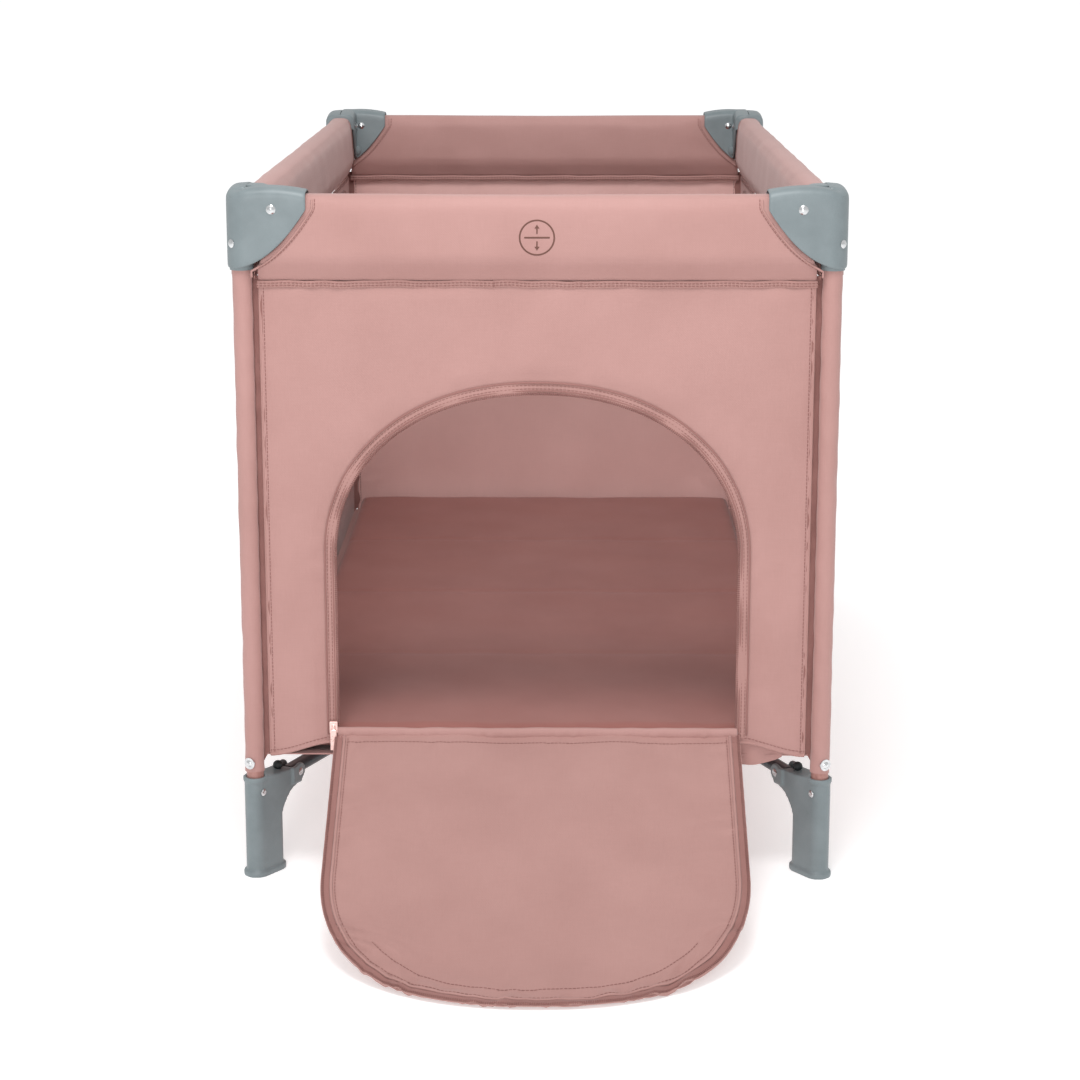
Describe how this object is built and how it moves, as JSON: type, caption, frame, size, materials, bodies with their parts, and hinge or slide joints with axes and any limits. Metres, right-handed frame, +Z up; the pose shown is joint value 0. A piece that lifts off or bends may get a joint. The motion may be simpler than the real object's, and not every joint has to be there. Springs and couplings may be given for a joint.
{
  "type": "folding travel cot playpen",
  "caption": "Folding travel cot: fabric playpen on a steel frame with corner castings, lockable folding rails, mesh sides and an arched zip door that opens to the floor.",
  "frame": {"origin": "on the floor under the centre foot, in the middle of the cot's own footprint", "axes": "+Y along the length, towards the end without the door; +X to the right seen from the door end; +Z up"},
  "size_m": [0.6546, 1.5258, 0.76],
  "materials": {
    "frame_steel": "satin dark slate powder coat",
    "grey_plastic": "moulded grey plastic with a fine grain",
    "leg_coating": "satin dusty pink coating",
    "dark_plastic": "moulded dark grey plastic",
    "button_plastic": "moulded light grey plastic",
    "fastener_steel": "bright zinc plate",
    "cover_fabric": "dusty pink coated polyester weave",
    "door_fabric": "dusty pink padded polyester weave",
    "mesh_fabric": "dark open warp-knit mesh",
    "mattress_fabric": "dusty pink brushed polyester",
    "zip_tape": "woven zip tape and piping",
    "zip_metal": "lacquered die casting",
    "strap_webbing": "woven webbing"
  },
  "bodies": {
    "hub": {"hub_plate": "grey_plastic", "hub_cap": "dark_plastic", "hub_pins": "fastener_steel", "hub_foot": "dark_plastic", "pull_strap": "strap_webbing", "base_fabric": "cover_fabric", "mattress": "mattress_fabric"},
    "arm_fl": {"arm_fl": "frame_steel"},
    "arm_fr": {"arm_fr": "frame_steel"},
    "arm_rl": {"arm_rl": "frame_steel"},
    "arm_rr": {"arm_rr": "frame_steel"},
    "post_fl": {"leg_fl": "leg_coating", "corner_fl": "grey_plastic", "foot_fl": "grey_plastic", "fasteners_fl": "fastener_steel", "wall_front": "cover_fabric", "wall_left": "cover_fabric", "mesh_left": "mesh_fabric", "zip_tape": "zip_tape"},
    "post_fr": {"leg_fr": "leg_coating", "corner_fr": "grey_plastic", "foot_fr": "grey_plastic", "fasteners_fr": "fastener_steel"},
    "post_rl": {"leg_rl": "leg_coating", "corner_rl": "grey_plastic", "foot_rl": "grey_plastic", "fasteners_rl": "fastener_steel"},
    "post_rr": {"leg_rr": "leg_coating", "corner_rr": "grey_plastic", "foot_rr": "grey_plastic", "fasteners_rr": "fastener_steel", "wall_rear": "cover_fabric", "wall_right": "cover_fabric", "mesh_right": "mesh_fabric"},
    "half_front_l": {"rail_front_l": "frame_steel", "sleeve_front_l": "cover_fabric"},
    "half_front_r": {"rail_front_r": "frame_steel", "sleeve_front_r": "cover_fabric"},
    "half_rear_l": {"rail_rear_l": "frame_steel", "sleeve_rear_l": "cover_fabric"},
    "half_rear_r": {"rail_rear_r": "frame_steel", "sleeve_rear_r": "cover_fabric"},
    "half_left_f": {"rail_left_f": "frame_steel", "sleeve_left_f": "cover_fabric"},
    "half_left_r": {"rail_left_r": "frame_steel", "sleeve_left_r": "cover_fabric"},
    "half_right_f": {"rail_right_f": "frame_steel", "sleeve_right_f": "cover_fabric"},
    "half_right_r": {"rail_right_r": "frame_steel", "sleeve_right_r": "cover_fabric"},
    "lock_front": {"lock_front": "dark_plastic"},
    "button_front": {"button_front": "button_plastic"},
    "lock_rear": {"lock_rear": "dark_plastic"},
    "button_rear": {"button_rear": "button_plastic"},
    "lock_left": {"lock_left": "dark_plastic"},
    "button_left": {"button_left": "button_plastic"},
    "lock_right": {"lock_right": "dark_plastic"},
    "button_right": {"button_right": "button_plastic"},
    "door": {"door_flap": "door_fabric"},
    "zip": {"zip_slider": "zip_metal"}
  },
  "joints": [
    {"name": "fold", "type": "hinge", "parent": "hub", "child": "arm_fl", "pos_m": [-0.032, -0.02, 0.105], "axis": [0.905, -0.4255, 0], "range_deg": [0, 84], "deforming": ["sleeve_front_l", "sleeve_front_r", "sleeve_rear_l", "sleeve_rear_r", "sleeve_left_f", "sleeve_left_r", "sleeve_right_f", "sleeve_right_r", "wall_front", "wall_rear", "wall_left", "wall_right", "mesh_left", "mesh_right", "zip_tape", "door_flap", "base_fabric", "mattress"]},
    {"name": "arm_swing_fr", "type": "hinge", "parent": "hub", "child": "arm_fr", "pos_m": [0.032, -0.02, 0.105], "axis": [0.905, 0.4255, 0], "range_deg": [0, 84]},
    {"name": "arm_swing_rl", "type": "hinge", "parent": "hub", "child": "arm_rl", "pos_m": [-0.032, 0.02, 0.105], "axis": [-0.905, -0.4255, 0], "range_deg": [0, 84]},
    {"name": "arm_swing_rr", "type": "hinge", "parent": "hub", "child": "arm_rr", "pos_m": [0.032, 0.02, 0.105], "axis": [-0.905, 0.4255, 0], "range_deg": [0, 84]},
    {"name": "post_upright_fl", "type": "hinge", "parent": "arm_fl", "child": "post_fl", "pos_m": [-0.276, -0.539, 0.105], "axis": [0.905, -0.4255, 0], "range_deg": [-84, 0]},
    {"name": "post_upright_fr", "type": "hinge", "parent": "arm_fr", "child": "post_fr", "pos_m": [0.276, -0.539, 0.105], "axis": [0.905, 0.4255, 0], "range_deg": [-84, 0]},
    {"name": "post_upright_rl", "type": "hinge", "parent": "arm_rl", "child": "post_rl", "pos_m": [-0.276, 0.539, 0.105], "axis": [-0.905, -0.4255, 0], "range_deg": [-84, 0]},
    {"name": "post_upright_rr", "type": "hinge", "parent": "arm_rr", "child": "post_rr", "pos_m": [0.276, 0.539, 0.105], "axis": [-0.905, 0.4255, 0], "range_deg": [-84, 0]},
    {"name": "rail_swing_front_l", "type": "hinge", "parent": "post_fl", "child": "half_front_l", "pos_m": [-0.276, -0.579, 0.737], "axis": [0, 1, 0], "range_deg": [0, 84]},
    {"name": "rail_swing_front_r", "type": "hinge", "parent": "post_fr", "child": "half_front_r", "pos_m": [0.276, -0.579, 0.737], "axis": [0, -1, 0], "range_deg": [0, 84]},
    {"name": "rail_swing_rear_l", "type": "hinge", "parent": "post_rl", "child": "half_rear_l", "pos_m": [-0.276, 0.579, 0.737], "axis": [0, 1, 0], "range_deg": [0, 84]},
    {"name": "rail_swing_rear_r", "type": "hinge", "parent": "post_rr", "child": "half_rear_r", "pos_m": [0.276, 0.579, 0.737], "axis": [0, -1, 0], "range_deg": [0, 84]},
    {"name": "rail_swing_left_f", "type": "hinge", "parent": "post_fl", "child": "half_left_f", "pos_m": [-0.304, -0.551, 0.737], "axis": [-1, 0, 0], "range_deg": [0, 84]},
    {"name": "rail_swing_left_r", "type": "hinge", "parent": "post_rl", "child": "half_left_r", "pos_m": [-0.304, 0.551, 0.737], "axis": [1, 0, 0], "range_deg": [0, 84]},
    {"name": "rail_swing_right_f", "type": "hinge", "parent": "post_fr", "child": "half_right_f", "pos_m": [0.304, -0.551, 0.737], "axis": [-1, 0, 0], "range_deg": [0, 84]},
    {"name": "rail_swing_right_r", "type": "hinge", "parent": "post_rr", "child": "half_right_r", "pos_m": [0.304, 0.551, 0.737], "axis": [1, 0, 0], "range_deg": [0, 84]},
    {"name": "lock_level_front", "type": "hinge", "parent": "half_front_l", "child": "lock_front", "pos_m": [-0.032, -0.579, 0.737], "axis": [0, 1, 0], "range_deg": [-84, 0]},
    {"name": "lock_level_rear", "type": "hinge", "parent": "half_rear_l", "child": "lock_rear", "pos_m": [-0.032, 0.579, 0.737], "axis": [0, 1, 0], "range_deg": [-84, 0]},
    {"name": "lock_level_left", "type": "hinge", "parent": "half_left_f", "child": "lock_left", "pos_m": [-0.304, -0.032, 0.737], "axis": [-1, 0, 0], "range_deg": [-84, 0]},
    {"name": "lock_level_right", "type": "hinge", "parent": "half_right_f", "child": "lock_right", "pos_m": [0.304, -0.032, 0.737], "axis": [-1, 0, 0], "range_deg": [-84, 0]},
    {"name": "press_front", "type": "slide", "parent": "lock_front", "child": "button_front", "axis": [0, 1, 0], "range_m": [0, 0.003], "stiffness_N_per_m": 300, "springref_m": -0.002},
    {"name": "press_rear", "type": "slide", "parent": "lock_rear", "child": "button_rear", "axis": [0, -1, 0], "range_m": [0, 0.003], "stiffness_N_per_m": 300, "springref_m": -0.002},
    {"name": "press_left", "type": "slide", "parent": "lock_left", "child": "button_left", "axis": [1, 0, 0], "range_m": [0, 0.003], "stiffness_N_per_m": 300, "springref_m": -0.002},
    {"name": "press_right", "type": "slide", "parent": "lock_right", "child": "button_right", "axis": [-1, 0, 0], "range_m": [0, 0.003], "stiffness_N_per_m": 300, "springref_m": -0.002},
    {"name": "door_swing", "type": "hinge", "parent": "post_fl", "child": "door", "pos_m": [0, -0.5875, 0.162], "axis": [-1, 0, 0], "range_deg": [0, 118]},
    {"name": "zip_run", "type": "slide", "parent": "post_fl", "child": "zip", "axis": [0, 0, 1], "range_m": [0, 0.19]}
  ],
  "couplings": [
    {"joint": "arm_swing_fr", "follows": "fold", "ratio": 1},
    {"joint": "arm_swing_rl", "follows": "fold", "ratio": 1},
    {"joint": "arm_swing_rr", "follows": "fold", "ratio": 1},
    {"joint": "post_upright_fl", "follows": "fold", "ratio": -1},
    {"joint": "post_upright_fr", "follows": "fold", "ratio": -1},
    {"joint": "post_upright_rl", "follows": "fold", "ratio": -1},
    {"joint": "post_upright_rr", "follows": "fold", "ratio": -1},
    {"joint": "rail_swing_front_l", "follows": "fold", "ratio": 1},
    {"joint": "rail_swing_front_r", "follows": "fold", "ratio": 1},
    {"joint": "rail_swing_rear_l", "follows": "fold", "ratio": 1},
    {"joint": "rail_swing_rear_r", "follows": "fold", "ratio": 1},
    {"joint": "rail_swing_left_f", "follows": "fold", "ratio": 1},
    {"joint": "rail_swing_left_r", "follows": "fold", "ratio": 1},
    {"joint": "rail_swing_right_f", "follows": "fold", "ratio": 1},
    {"joint": "rail_swing_right_r", "follows": "fold", "ratio": 1},
    {"joint": "lock_level_front", "follows": "fold", "ratio": -1},
    {"joint": "lock_level_rear", "follows": "fold", "ratio": -1},
    {"joint": "lock_level_left", "follows": "fold", "ratio": -1},
    {"joint": "lock_level_right", "follows": "fold", "ratio": -1}
  ]
}
